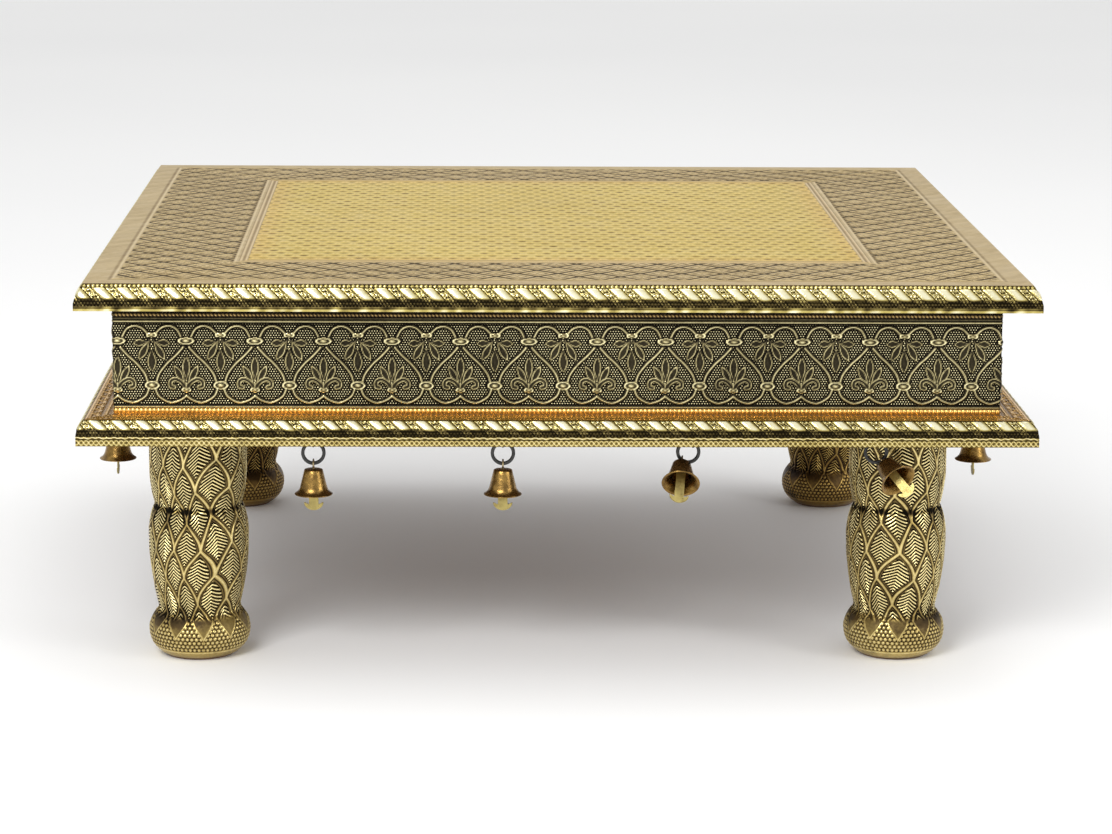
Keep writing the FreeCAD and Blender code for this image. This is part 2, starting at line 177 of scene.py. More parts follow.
def grid_piece(name, points, relief, flat, fine, warm=0.0, closed=False):
    """A smooth sheet of quads through a grid of points in millimetres. Its material reads the relief (its
    colour
    level: 0 for dark patina in a recess to 1 on a ridge, with painted highlights and painted shade worked
    in), fine (where the small pattern shows), warm (how coppery it is; on the centre panel's edges a painted
    reflection) and flat (the place on the unrolled sheet, in millimetres)."""
    rows, columns = points.shape[:2]
    index = np.arange(rows * columns).reshape(rows, columns)
    if closed:
        index = np.hstack([index, index[:, :1]])
    quads = np.stack([index[:-1, :-1], index[:-1, 1:], index[1:, 1:], index[1:, :-1]], -1).reshape(-1, 4)
    mesh = bpy.data.meshes.new(name)
    mesh.vertices.add(rows * columns)
    mesh.vertices.foreach_set("co", (points * MM).astype(np.float32).ravel())
    mesh.loops.add(quads.size)
    mesh.loops.foreach_set("vertex_index", quads.astype(np.int32).ravel())
    mesh.polygons.add(len(quads))
    mesh.polygons.foreach_set("loop_start", np.arange(0, quads.size, 4, dtype=np.int32))
    mesh.polygons.foreach_set("use_smooth", np.ones(len(quads), bool))
    mesh.update()
    mesh.validate()
    for label, values in (("relief", relief), ("fine", fine), ("warm", warm)):
        attribute = mesh.attributes.new(label, "FLOAT", "POINT")
        spread = np.broadcast_to(values, (rows, columns))
        attribute.data.foreach_set("value", spread.astype(np.float32).ravel())
    attribute = mesh.attributes.new("flat", "FLOAT_VECTOR", "POINT")
    attribute.data.foreach_set("vector", flat.astype(np.float32).ravel())
    return link(mesh, name)


def turned_side(points, quarter):
    """Points of the front side, turned about Z to another side."""
    angle = quarter * math.pi / 2
    c, s = round(math.cos(angle)), round(math.sin(angle))
    out = points.copy()
    out[..., 0] = c * points[..., 0] - s * points[..., 1]
    out[..., 1] = s * points[..., 0] + c * points[..., 1]
    return out


def lengths_along(points):
    """Distance along a run of points from its first to each."""
    return np.concatenate([[0], np.cumsum(np.hypot(*np.diff(points, axis=0).T))])


def even_run(points, spacing):
    """Even samples along a run of points, and the unit tangent at each."""
    s = lengths_along(points)
    even = np.linspace(0, s[-1], int(s[-1] / spacing))
    run = np.stack([np.interp(even, s, points[:, 0]), np.interp(even, s, points[:, 1])], -1)
    tangent = np.gradient(run, axis=0)
    return run, tangent / np.hypot(*tangent.T)[:, None]


MITRE_WIDTH = 1.2


def moulding_side(name, quarter, profile, columns, height, material, replaced):
    """One mitred side of a moulding. profile: rows of (inset from the edge, level, normal out, normal up).
    height gives relief, lift along the normal, fine and warm from the places along and down the side."""
    inset, level, out_x, out_z = (column[:, None] for column in profile.T)
    half = TABLE_HALF - inset
    x = np.linspace(-1, 1, columns)[None, :] * half
    s = lengths_along(profile[:, :2])[:, None] + 0 * x
    relief, lift, fine, warm = height(x, s)
    lift = -FOIL + (lift + FOIL) * smooth(0.0, MITRE_WIDTH, half - np.abs(x))
    away = np.minimum(half + out_x * lift, TABLE_HALF)
    points = turned_side(np.stack([x, -away, np.minimum(level + out_z * lift, TABLE_TOP)], -1), quarter)
    flat = np.stack([x, s, 0 * x], -1)
    piece = grid_piece(f"{name}_{SIDES[quarter]}", points, relief, flat, fine, warm)
    finish_piece(piece, material, "table", replaced)


def on_four_sides(*mouldings):
    """Mouldings all round the table. Each is a name, then what moulding_side takes from profile on."""
    for quarter in range(4):
        for name, *rest in mouldings:
            moulding_side(name, quarter, *rest)


def finish_piece(piece, material, body, replaced):
    piece.data.materials.append(material)
    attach(piece, body)
    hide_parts(replaced)


ARC_POINTS = 40


def arc_points(start, end, radius, bulge=1):
    """Points on the arc from start to end, bulging to the right of the travel, or left for bulge -1."""
    start, end = np.array(start, float), np.array(end, float)
    chord = end - start
    length = np.hypot(*chord)
    right = np.array([chord[1], -chord[0]]) / length * bulge
    centre = (start + end) / 2 - right * math.sqrt(radius**2 - (length / 2) ** 2)
    a0 = math.atan2(*(start - centre)[::-1])
    a1 = math.atan2(*(end - centre)[::-1])
    turn = (a1 - a0 + math.pi) % math.tau - math.pi
    angles = a0 + turn * np.linspace(0, 1, ARC_POINTS)
    return centre + radius * np.stack([np.cos(angles), np.sin(angles)], -1)


# ---------- materials

VEIN_PITCH = 1.5


class Nodes:
    """A short way to write a node tree."""

    def __init__(self, name):
        self.material = bpy.data.materials.new(name)
        self.material.use_nodes = True
        self.tree = self.material.node_tree
        self.shader = self.tree.nodes["Principled BSDF"]

    def add(self, kind, **values):
        node = self.tree.nodes.new(kind)
        for key, value in values.items():
            setattr(node, key, value)
        return node

    def join(self, source, target):
        self.tree.links.new(source, target)

    def attribute(self, name, output="Fac"):
        return self.add("ShaderNodeAttribute", attribute_name=name).outputs[output]

    def math(self, operation, *inputs):
        node = self.add("ShaderNodeMath", operation=operation)
        for socket, value in zip(node.inputs, inputs, strict=False):
            self.feed(value, socket)
        return node.outputs[0]

    def shade(self, label, value):
        self.feed(value, self.shader.inputs[label])

    def sway(self, value, amount):
        """A value about 0.5, turned into one about 0 of the given strength."""
        return self.math("MULTIPLY", self.math("SUBTRACT", value, 0.5), amount)

    def feed(self, value, socket):
        if isinstance(value, bpy.types.NodeSocket):
            self.join(value, socket)
        else:
            socket.default_value = value

    def ramp(self, value, stops):
        node = self.add("ShaderNodeValToRGB")
        elements = node.color_ramp.elements
        while len(elements) < len(stops):
            elements.new(0.5)
        for element, (place, colour) in zip(elements, stops, strict=True):
            element.position = place
            element.color = (*colour, 1)
        self.join(value, node.inputs[0])
        return node.outputs[0]

    def noise(self, scale, detail=4, roughness=0.6, vector=None):
        node = self.add("ShaderNodeTexNoise")
        node.inputs["Scale"].default_value = scale
        node.inputs["Detail"].default_value = detail
        node.inputs["Roughness"].default_value = roughness
        self.join(vector or self.position(), node.inputs["Vector"])
        return node.outputs["Fac"]

    def position(self):
        return self.add("ShaderNodeTexCoord").outputs["Object"]

    def mix(self, factor, first, second, blend="MIX"):
        node = self.add("ShaderNodeMix", data_type="RGBA", blend_type=blend)
        self.feed(factor, node.inputs["Factor"])
        sockets = [s for s in node.inputs if s.type == "RGBA"]
        for colour, socket in zip((first, second), sockets, strict=True):
            self.feed(colour if isinstance(colour, bpy.types.NodeSocket) else (*colour, 1), socket)
        return next(s for s in node.outputs if s.type == "RGBA")

    def span(self, value, low, high, out_low, out_high):
        node = self.add("ShaderNodeMapRange")
        for socket, number in zip(node.inputs, (value, low, high, out_low, out_high), strict=False):
            self.feed(number, socket)
        return node.outputs[0]

    def bump(self, height, strength, distance):
        node = self.add("ShaderNodeBump")
        node.inputs["Strength"].default_value = strength
        node.inputs["Distance"].default_value = distance
        self.join(height, node.inputs["Height"])
        self.join(node.outputs[0], self.shader.inputs["Normal"])


def hex_dots(n, vector, pitch):
    """Rows of staggered round dots, 1 at their centres."""
    turns = math.tau / (pitch * math.sqrt(3) / 2)
    waves = []
    for angle in (0, math.pi / 3, math.tau / 3):
        dot = n.add("ShaderNodeVectorMath", operation="DOT_PRODUCT")
        n.join(vector, dot.inputs[0])
        dot.inputs[1].default_value = (turns * math.sin(angle), turns * math.cos(angle), 0)
        waves.append(n.math("COSINE", dot.outputs["Value"]))
    total = n.math("ADD", n.math("ADD", waves[0], waves[1]), waves[2])
    return n.span(total, -0.4, 1.8, 0.0, 1.0)


def parallel_lines(n, vector, pitch):
    """Fine parallel lines across the first flat coordinate."""
    split = n.add("ShaderNodeSeparateXYZ")
    n.join(vector, split.inputs[0])
    wave = n.math("COSINE", n.math("MULTIPLY", split.outputs[0], math.tau / pitch))
    return n.span(wave, -0.5, 0.6, 0.0, 1.0)


TARNISH = (0.012, 0.008, 0.004)
ORANGE = (1.0, 0.62, 0.22)


def embossed(name, colours, fine, fine_strength, tarnish, rough=(0.6, 0.22), metal=(0.0, 0.9)):
    """Brass whose colour and gloss follow its relief: dark patina in the recesses, rubbed bright on top, with
    the ridge colour a painted highlight.
    colours: recess, flank, field and ridge. fine: (pattern function, pitch) of a pattern too small for
    the mesh. rough and metal: from recess to ridge. The warm attribute turns the brass towards copper."""
    n = Nodes(name)
    big = n.noise(11.0, 5, 0.6)
    small = n.noise(520.0, 6, 0.65)
    grime = n.noise(75.0, 6, 0.7)
    # colour level, from dark patina in the recesses up to a painted highlight on the ridges
    patina_and_painted_light = n.attribute("relief")
    patina_and_painted_light = n.math("ADD", patina_and_painted_light, n.sway(small, 0.28))
    patina_and_painted_light = n.math("ADD", patina_and_painted_light, n.sway(big, 0.30))
    height = n.math("MULTIPLY", small, 0.15)
    pattern, pitch = fine
    mask = n.attribute("fine")
    dots = n.math("MULTIPLY", pattern(n, n.attribute("flat", "Vector"), pitch), mask)
    lifted = n.math("SUBTRACT", dots, n.math("MULTIPLY", mask, 0.45))
    patina_and_painted_light = n.math("ADD", patina_and_painted_light, n.math("MULTIPLY", lifted, fine_strength))
    height = n.math("ADD", height, dots)
    patina_and_painted_light = n.math("MAXIMUM", n.math("MINIMUM", patina_and_painted_light, 1.0), 0.0)
    colour = n.ramp(patina_and_painted_light, list(zip((0.08, 0.32, 0.6, 0.92), colours, strict=True)))
    colour = n.mix(n.attribute("warm"), colour, ORANGE, "MULTIPLY")
    colour = n.mix(n.span(grime, 0.56, 0.74, 0.0, tarnish), colour, TARNISH)
    n.shade("Base Color", colour)
    n.shade("Metallic", n.span(patina_and_painted_light, 0.1, 0.7, metal[0], metal[1]))
    gloss = n.span(patina_and_painted_light, 0.1, 0.85, rough[0], rough[1])
    gloss = n.math("ADD", gloss, n.sway(grime, 0.25))
    n.shade("Roughness", gloss)
    n.shade("Specular IOR Level", n.span(patina_and_painted_light, 0.1, 0.6, 0.03, 0.5))
    n.bump(height, 0.6, 0.0004)
    return n.material


def plain_metal(name, colour, dark, roughness, metallic, share=0.6):
    """Worn wire or casting: an uneven colour with dark patches, as deep as share says, and a fine grain."""
    n = Nodes(name)
    patches = n.noise(260.0, 6, 0.65)
    grain = n.noise(900.0, 5, 0.7)
    mixed = n.mix(n.span(patches, 0.38, 0.68, 0.0, share), colour, dark)
    n.shade("Base Color", mixed)
    n.shade("Metallic", metallic)
    n.shade("Roughness", n.span(grain, 0.3, 0.8, roughness - 0.1, roughness + 0.2))
    n.bump(n.math("ADD", grain, n.math("MULTIPLY", patches, 1.5)), 0.35, 0.0003)
    return n.material


def wood(name, pale, dark, along=0):
    """Plain sawn wood with its grain along one axis."""
    n = Nodes(name)
    stretch = n.add("ShaderNodeMapping")
    scale = [1.0, 1.0, 1.0]
    scale[along] = 0.06
    stretch.inputs["Scale"].default_value = scale
    n.join(n.position(), stretch.inputs["Vector"])
    rings = n.noise(90.0, 6, 0.65, stretch.outputs[0])
    fibres = n.noise(900.0, 4, 0.7, stretch.outputs[0])
    blotch = n.noise(14.0, 4, 0.6)
    grain = n.math("ADD", n.math("MULTIPLY", rings, 0.7), n.math("MULTIPLY", fibres, 0.3))
    colour = n.ramp(grain, [(0.3, dark), (0.55, pale), (0.75, dark)])
    colour = n.mix(n.span(blotch, 0.4, 0.75, 0.0, 0.5), colour, [c * 0.5 for c in dark])
    n.shade("Base Color", colour)
    n.shade("Roughness", n.span(fibres, 0.3, 0.7, 0.55, 0.8))
    n.bump(grain, 0.5, 0.0004)
    return n.material


APRON_BRASS = embossed(
    "apron_brass", ((0.004, 0.003, 0.002), (0.035, 0.027, 0.010), (0.30, 0.25, 0.11), (0.90, 0.82, 0.48)),
    (hex_dots, 1.12), fine_strength=1.45, tarnish=0.4,
)
LEG_BRASS = embossed(
    "leg_brass", ((0.004, 0.003, 0.001), (0.07, 0.042, 0.010), (0.40, 0.29, 0.085), (0.94, 0.79, 0.38)),
    (parallel_lines, VEIN_PITCH), fine_strength=1.3, tarnish=0.7,
)
# a darker copy of the leg brass for the back legs: painted shade, as they stand under the table
SHADED_LEG_BRASS = embossed(
    "shaded_leg_brass", ((0.004, 0.002, 0.001), (0.05, 0.024, 0.004), (0.24, 0.14, 0.03), (0.52, 0.36, 0.11)),
    (parallel_lines, VEIN_PITCH), fine_strength=0.9, tarnish=0.85,
)
ROPE_BRASS = embossed(
    "rope_brass", ((0.006, 0.004, 0.001), (0.10, 0.07, 0.015), (0.52, 0.42, 0.12), (1.0, 0.95, 0.66)),
    (hex_dots, 1.4), fine_strength=0.5, tarnish=0.3, rough=(0.45, 0.16),
)
BORDER_BRASS = embossed(
    "border_brass", ((0.06, 0.042, 0.014), (0.26, 0.185, 0.072), (0.45, 0.345, 0.155), (0.66, 0.53, 0.27)),
    (hex_dots, 1.5), fine_strength=0.2, tarnish=0.15, rough=(0.55, 0.38), metal=(0.5, 0.75),
)
PANEL_BRASS = embossed(
    "panel_brass", ((0.10, 0.055, 0.006), (0.31, 0.20, 0.022), (0.54, 0.385, 0.05), (0.76, 0.57, 0.11)),
    (hex_dots, 1.3), fine_strength=0.12, tarnish=0.10, rough=(0.5, 0.36), metal=(0.5, 0.75),
)
BELL_BRONZE = plain_metal("bell_bronze", (0.33, 0.20, 0.055), (0.07, 0.035, 0.012), 0.22, 0.95, share=0.8)
RING_STEEL = plain_metal("ring_steel", (0.06, 0.06, 0.058), (0.014, 0.014, 0.014), 0.32, 0.7)
WIRE_BRASS = plain_metal("wire_brass", (0.50, 0.40, 0.22), (0.12, 0.08, 0.04), 0.3, 0.95)
CLAPPER_BRASS = plain_metal("clapper_brass", (0.42, 0.34, 0.12), (0.13, 0.09, 0.03), 0.34, 0.9)
SCREW_STEEL = plain_metal("screw_steel", (0.45, 0.45, 0.44), (0.2, 0.19, 0.17), 0.35, 0.95)
BOARD_WOOD = wood("board_wood", (0.16, 0.085, 0.04), (0.06, 0.03, 0.014))
SIDE_WOOD = wood("side_wood", (0.16, 0.085, 0.04), (0.06, 0.03, 0.014), along=1)
LEG_WOOD = wood("leg_wood", (0.19, 0.10, 0.045), (0.08, 0.04, 0.018), along=2)

BARE_NODES = (
    (BOARD_WOOD, ("top_board", "base_board", "apron_board_front", "apron_board_back")),
    (SIDE_WOOD, ("apron_board_left", "apron_board_right", "corner_blocks")),
    (LEG_WOOD, [f"leg_{name}" for name in LEG_NAMES]),
    (SCREW_STEEL, ("leg_screws",)),
)


def dress_bare_nodes():
    """Give the boards, legs and screws, which no piece replaces, their wood and steel."""
    for material, names in BARE_NODES:
        for name in names:
            materials = frame["nodes"][name].data.materials
            materials.clear()
            materials.append(material)


# ---------- apron

MOTIFS_PER_SIDE = 13
MOTIF_PITCH = 28.6
APRON_COLUMNS = 64
APRON_ROWS = 104
APRON_SHIFT = 1.9
# the levels between which the motifs stand
ZONE_LOW = 3.6
ZONE_HIGH = 39.4
ZONE_SPAN = ZONE_HIGH - ZONE_LOW
# places on half a motif as (across, down from the zone's top): across from a heart's middle for HEART_*,
# and from the middle between two hearts for GAP_*
HEART_LINES = (
    [(1.2, 10.6), (4.4, 14.2), (8.0, 17.6), (11.2, 21.8), (12.4, 25.2)],
    [(12.9, 28.6), (11.3, 31.8), (6.9, 34.3), (2.8, 33.4), (0.0, 31.4)],
    [(12.6, 4.7), (10.0, 2.2), (6.8, 1.5), (3.9, 2.9), (2.2, 5.9)],
)
# oval beads at the crossings: down, half width, half height
HEART_BEADS = ((7.9, 2.4, 1.0), (28.8, 1.4, 0.78))
GAP_BEADS = ((26.9, 2.15, 1.15), (5.4, 1.55, 0.7))
# leaves of the palmettes: root, tip, half width, place of the fullest part
HEART_LEAVES = (((0, 24.6), (0, 14.4), 1.45, 0.55), ((0.3, 27.4), (4.9, 18.6), 1.2, 0.62))
GAP_LEAVES = (
    ((0, 11.4), (0, 21.2), 1.65, 0.55), ((0.7, 7.4), (5.3, 15.8), 1.3, 0.62),
    ((1.6, 8.4), (7.6, 8.9), 1.25, 0.6),
)
CURL = [(0.5, 27.4), (2.4, 25.3), (4.7, 24.3), (6.6, 25.2), (6.7, 27.3), (5.3, 27.7)]
CURL_HALF = 0.72
# plain lines above and below the motifs: level, strength, half width
PLAIN_LINES = ((39.9, 0.5, 0.5), (41.0, 0.3, 0.4), (46.0, 0.3, 0.4), (3.3, 0.5, 0.45))
CORD_LEVELS = (42.6, 44.6)
CORD_TWISTS = 18
LACE_BEADS = 16


def motif_relief(in_heart, in_gap, t, stretch):
    """Lacing hearts, each round a palmette: height, brightness (painted highlights on the lines, bead rims
    and leaf outlines, a painted glint on each bead) and distance to the nearest motif.
    """
    lines = np.full(t.shape, 1e9)
    for path in HEART_LINES:
        lines = np.minimum(lines, to_path(in_heart, t, spline([(x * stretch, y) for x, y in path])))
    lift = 0.62 * ridge(lines, 0.8)
    # a painted highlight along the middle of each line
    shine = 0.18 * (lines < 0.8) + 0.68 * ridge(lines, 0.45)
    bare = lines - 0.85
    for x, beads in ((in_heart, HEART_BEADS), (in_gap, GAP_BEADS)):
        for level, half_x, half_y in beads:
            away = oval(x, t, (0, level), half_x, half_y)
            bead = dome(away)
            rim = ridge((away - 1.3) * half_y, 0.42)
            lift = np.maximum(lift, np.maximum(0.9 * bead, 0.55 * rim))
            # a bright rim and a painted glint on each bead's top
            shine = np.where(away < 1.5, np.maximum(0.95 * rim, 0.1 + 0.75 * bead**4), shine)
            bare = np.minimum(bare, (away - 1.6) * half_y)
    gaps = []
    for x, leaves in ((in_heart, HEART_LEAVES), (in_gap, GAP_LEAVES)):
        gaps += [(x, root, leaf(x, t, root, tip, width, fullest)) for root, tip, width, fullest in leaves]
    gaps.append((in_heart, CURL[0], to_path(in_heart, t, spline(CURL)) - CURL_HALF))
    for x, root, gap in gaps:
        lift = np.maximum(lift, 0.30 * smooth(0.15, -0.25, gap))
        lift = np.maximum(lift, 0.65 * ridge(gap, 0.5))
        shine = np.where(gap < -0.15, np.maximum(0.14, 0.04 - 0.12 * gap), shine)
        along = smooth(0.0, 3.2, np.hypot(x - root[0], t - root[1]))
        shine = np.maximum(shine, (0.35 + 0.45 * along) * ridge(gap, 0.42) * (x > 0.12))
        bare = np.minimum(bare, gap - 0.4)
    stem = ridge(in_heart, 0.45) * smooth(29.0, 27.0, t) * smooth(23.0, 24.6, t)
    stem = stem + ridge(in_gap, 0.45) * smooth(5.6, 6.6, t) * smooth(12.4, 11.2, t)
    return np.maximum(lift, 0.4 * stem), np.maximum(shine, 0.8 * stem), bare


def apron_tile(pitch):
    """One repeat of the apron's pattern: height, brightness, ground and warmth."""
    u = (np.arange(APRON_COLUMNS) / APRON_COLUMNS * pitch)[None, :]
    v = np.linspace(0, TOP_UNDER - BASE_TOP, APRON_ROWS)[:, None]
    u, v = u + 0 * v, v + 0 * u
    t = ZONE_HIGH - v
    in_heart = np.abs((u - APRON_SHIFT + pitch / 2) % pitch - pitch / 2)
    lift, shine, bare = motif_relief(in_heart, pitch / 2 - in_heart, t, pitch / MOTIF_PITCH)
    ground = smooth(0.1, 0.45, bare) * smooth(0.3, 0.9, t) * smooth(ZONE_SPAN - 0.3, ZONE_SPAN - 0.9, t)
    in_zone = smooth(-0.2, 0.1, t) * smooth(ZONE_SPAN + 0.2, ZONE_SPAN - 0.1, t)
    lift = lift * in_zone
    shine = 0.16 + 0.84 * shine * in_zone
    for level, strength, half_width in PLAIN_LINES:
        line = ridge(v - level, half_width)
        lift = np.maximum(lift, strength * line)
        shine = np.maximum(shine, 1.9 * strength * line)
    for level in CORD_LEVELS:
        twist = 0.5 + 0.5 * np.cos(math.tau * (u / (pitch / CORD_TWISTS) + (v - level) * 0.4))
        cord = (0.2 + 0.4 * twist) * ridge(v - level, 1.1)
        lift = np.maximum(lift, cord)
        shine = np.maximum(shine, 1.5 * cord)
    beads = dome(np.hypot(from_nearest(u, pitch / LACE_BEADS), v - 1.5) / 0.85)
    lift = np.maximum(lift, 0.5 * beads)
    shine = np.maximum(shine, (0.72 + 0.4 * beads - 0.5 * ridge(v - 2.6, 0.3)) * smooth(3.0, 2.7, v))
    warm = 0.85 * smooth(2.9, 2.5, v) + 0.6 * smooth(41.2, 41.6, v)
    return lift, shine, ground, warm


def make_apron():
    length = 2 * (APRON_HALF - SHEET_DEPTH)
    tile = []
    for field in apron_tile(length / MOTIFS_PER_SIDE):
        run = np.tile(field, (1, MOTIFS_PER_SIDE))
        tile.append(np.hstack([run, run[:, :1]]))
    lift, shine, ground, warm = tile
    u = np.linspace(0, length, lift.shape[1])[None, :] + 0 * lift
    v = np.linspace(0, TOP_UNDER - BASE_TOP, APRON_ROWS)[:, None] + 0 * lift
    ends = smooth(0.0, 0.8, np.minimum(u, length - u))
    relief = shine * (0.85 + 0.3 * ends) - 0.15
    flat = np.stack([u, v, 0 * u], -1)
    for quarter, side in enumerate(SIDES):
        wobble = 0.10 * hollow_noise(u, v, 30 + quarter) + 0.06 * hollow_noise(5 * u, 5 * v, 50 + quarter)
        lifted = (lift * (1 + 0.25 * wobble) + wobble) * ends
        points = np.stack([u - length / 2, -(APRON_HALF - SHEET_DEPTH) - lifted, BASE_TOP + v], -1)
        piece = grid_piece(f"apron_brass_{side}", turned_side(points, quarter), relief, flat, ground, warm)
        finish_piece(piece, APRON_BRASS, "table", "apron_cladding")


# ---------- legs

LEG_COLUMNS = 360
LEG_SPACING = 0.40
LEAVES_ROUND = 11
LEAF_ROW = 12.6
LEG_GIRTH = math.tau * 20.5
FOOT_BEAD = 1.9
FOOT_ROW = 0.88 * FOOT_BEAD
FOOT_LOWEST_ROW = 5.6
FOOT_HEM = 4.7
NECK_LEVEL = 66.8
ANKLE_LEVEL = 21.0
DEEPEST_DENT = 0.34
LEG_STATIONS = [
    # height, radius, radius of the arc up to the next station, or None for a straight run
    (1.0, 16.2, 11.8), (20.0, 17.9, None), (22.0, 17.6, 130.0), (54.0, 21.6, 33.7),
    (66.3, 19.25, None), (67.3, 18.8, 66.0), (84.0, 20.95, None), (BASE_UNDER, 20.95, None),
]


def leg_profile():
    """Rows of (radius, height, normal out, normal up), foot first."""
    run = []
    for (z0, r0, curve), (z1, r1, _) in zip(LEG_STATIONS[:-1], LEG_STATIONS[1:], strict=True):
        part = arc_points((r0, z0), (r1, z1), curve) if curve else np.array([(r0, z0), (r1, z1)], float)
        run.append(part[:-1])
    top_height, top_radius, _ = LEG_STATIONS[-1]
    run, tangent = even_run(np.vstack([*run, [[top_radius, top_height]]]), LEG_SPACING)
    return np.column_stack([run, tangent[:, 1], -tangent[:, 0]])


def leaf_share(up):
    """How much of a leaf's full width it has: round above its middle (up 0 to 1), drawn to a tip below."""
    above = np.clip(up, 0, 1)
    below = np.clip(1 + up, 0, 1)
    return np.where(up > 0, leaf_fall(above), 1 - leaf_fall(below))


def leaf_fall(t):
    """A leaf's outline, from 1 at its middle (t 0) to 0 at its end (t 1)."""
    even = 0.45 * (1 - t) + 0.55 * np.cos(np.pi * t / 2) ** 2
    return 0.35 * even + 0.65 * (1 - t**2.2)


def leaf_scales(turn, z, width):
    """Staggered pointed leaves that hang tip down. Returns height, brightness, vein mask and phase in mm."""
    fields = [np.zeros(z.shape)] * 4
    for shift in (0.0, 0.5):
        across = turn * LEAVES_ROUND + shift
        across = (across - np.round(across)) * width
        up = z / LEAF_ROW + 2 * shift
        up = up - 2 * np.round(up / 2)
        inside = 0.5 * width * leaf_share(up) - np.abs(across)
        own = inside > 0
        bowl = smooth(1.5, 1.8, inside)
        band = ridge(inside - 0.1, 0.8)
        rim = ridge(inside - 1.2, 0.3)
        bent = up * LEAF_ROW + 0.95 * np.abs(across) - 0.06 * across**2
        cut = 0.5 + 0.5 * np.cos(math.tau * bent / VEIN_PITCH)
        edge = np.maximum(0.55 * band, 0.5 * rim)
        here = np.maximum(edge * (1 - bowl), bowl * (0.16 + 0.34 * cut))
        glow = np.maximum(np.maximum(0.78 * band, 0.5 * rim) * (1 - bowl), 0.53 * bowl)
        fields = [np.where(own, new, old) for new, old in zip((here, glow, bowl, bent), fields, strict=True)]
    return fields


def foot_relief(turn, z, seed):
    """The foot: rows of round beads under pointed tongues, over a plain rolled hem."""
    row = np.round((z - FOOT_LOWEST_ROW) / FOOT_ROW)
    count = round(LEG_GIRTH / FOOT_BEAD)
    across = ((turn * count + 0.5 * (row % 2)) % 1 - 0.5) * FOOT_BEAD
    beads = dome(np.hypot(across, z - FOOT_LOWEST_ROW - row * FOOT_ROW) / (0.47 * FOOT_BEAD)) * (z > FOOT_HEM)
    tongue = 0.42 * smooth(8.5, 19.0, z) - np.abs((turn * LEAVES_ROUND + 0.3 * seed) % 1 - 0.5)
    tongues = smooth(-0.02, 0.03, tongue)
    rim = ridge(tongue - 0.03, 0.04)
    lift = np.maximum(0.5 * beads * (1 - tongues), 0.3 * tongues + 0.25 * rim)
    shine = np.maximum((0.1 + 0.75 * beads) * (1 - tongues), 0.42 * tongues + 0.45 * rim)
    hem = smooth(5.0, 4.4, z)
    lift = lift * (1 - hem) + hem * (0.3 + 0.15 * ridge(z - 4.1, 0.4))
    shine = shine * (1 - hem) + hem * (0.62 + 0.2 * ridge(z - 4.1, 0.5))
    return lift, shine


def leg_relief(turn, z, seed):
    """A leg's whole pattern: height, brightness, vein mask and vein phase."""
    wave = math.tau * turn
    drift = 0.014 * np.sin(3 * wave + 0.6 * np.pi * seed) + 0.008 * np.sin(z / 7 + 2 * wave + seed)
    rows = z + 1.8 * np.sin(2 * wave + 0.42 * np.pi * seed) + np.sin(5 * wave + z / 17) + 2.0 * seed
    shifted = (turn + drift + 0.13 * seed) % 1.0
    lift, shine, veins, phase = leaf_scales(shifted, rows, LEG_GIRTH / LEAVES_ROUND)
    dent = hollow_noise(274 * turn, 3 * z, 70 + seed)
    foot, foot_shine = foot_relief(turn, z, seed)
    on_foot = smooth(19.5, 17.5, z)
    lift = lift * (1 - on_foot) + foot * on_foot
    shine = shine * (1 - on_foot) + foot_shine * on_foot
    veins = veins * (1 - smooth(21.0, 18.0, z))
    # folded creases at the neck and above the foot
    crease = ridge(z - NECK_LEVEL, 1.8)
    pucker = 0.5 + 0.5 * np.sin(34 * wave + 1.2 * np.pi * np.sin(turn * 21))
    lift = lift * (1 - 0.8 * crease) + 0.35 * crease * pucker
    lift = lift + 0.3 * ridge(z - ANKLE_LEVEL, 1.2) * (pucker - 0.7)
    # darker bands about the neck and above the foot, uneven round the leg; the neck crease is coloured darker
    # too
    neck_and_ankle_darkening = 0.8 * smooth(57.0, 64.0, z) * smooth(68.5, 66.0, z)
    neck_and_ankle_darkening = neck_and_ankle_darkening + 0.6 * smooth(13.0, 19.0, z) * smooth(27.0, 21.0, z)
    neck_and_ankle_darkening = neck_and_ankle_darkening * (0.5 + 0.4 * np.sin(2 * wave + 0.74 * np.pi * seed) + 0.45 * dent)
    shine = shine - 0.4 * crease - 0.5 * np.clip(neck_and_ankle_darkening, 0, 1) + 0.08 * dent
    return lift + 0.06 * dent, shine, veins, phase


def make_leg(name):
    low, high = node_box(f"leg_cladding_{name}")
    centre_x, centre_y = (low[0] + high[0]) / 2, (low[1] + high[1]) / 2
    radius, level, out_r, out_z = (column[:, None] for column in leg_profile().T)
    around = (np.arange(LEG_COLUMNS) / LEG_COLUMNS)[None, :]
    z = level + 0 * around
    turn = around + 0 * level
    lift, shine, veins, phase = leg_relief(turn, z, LEG_NAMES.index(name))
    lifted = np.maximum(lift - SHEET_DEPTH, -DEEPEST_DENT)
    ring = radius + out_r * lifted
    angle = math.tau * turn
    x, y = centre_x + ring * np.cos(angle), centre_y + ring * np.sin(angle)
    points = np.stack([x, y, np.clip(z + out_z * lifted, 0.2, BASE_UNDER)], -1)
    flat = np.stack([phase, turn * LEG_GIRTH, z], -1)
    piece = grid_piece(f"leg_brass_{name}", points, shine, flat, veins, closed=True)
    # the back legs take the darker copy, a painted shade
    brass = SHADED_LEG_BRASS if name.startswith("back") else LEG_BRASS
    finish_piece(piece, brass, "table", f"leg_cladding_{name}")


# ---------- mouldings

ROPE_PITCH = 9.8
ROPE_SLANT = 0.8
ROPE_COLUMNS = 1000
ROPE_SPACING = 0.34
# rounded shoulders: inset and drop of the upper end, height of the band below, radius
TOP_OVOLO = (3.8, 0.4, 2.9, 18.0)
BASE_OVOLO = (3.3, 0.0, 4.2, 11.0)
EDGE_BEAD = 1.9


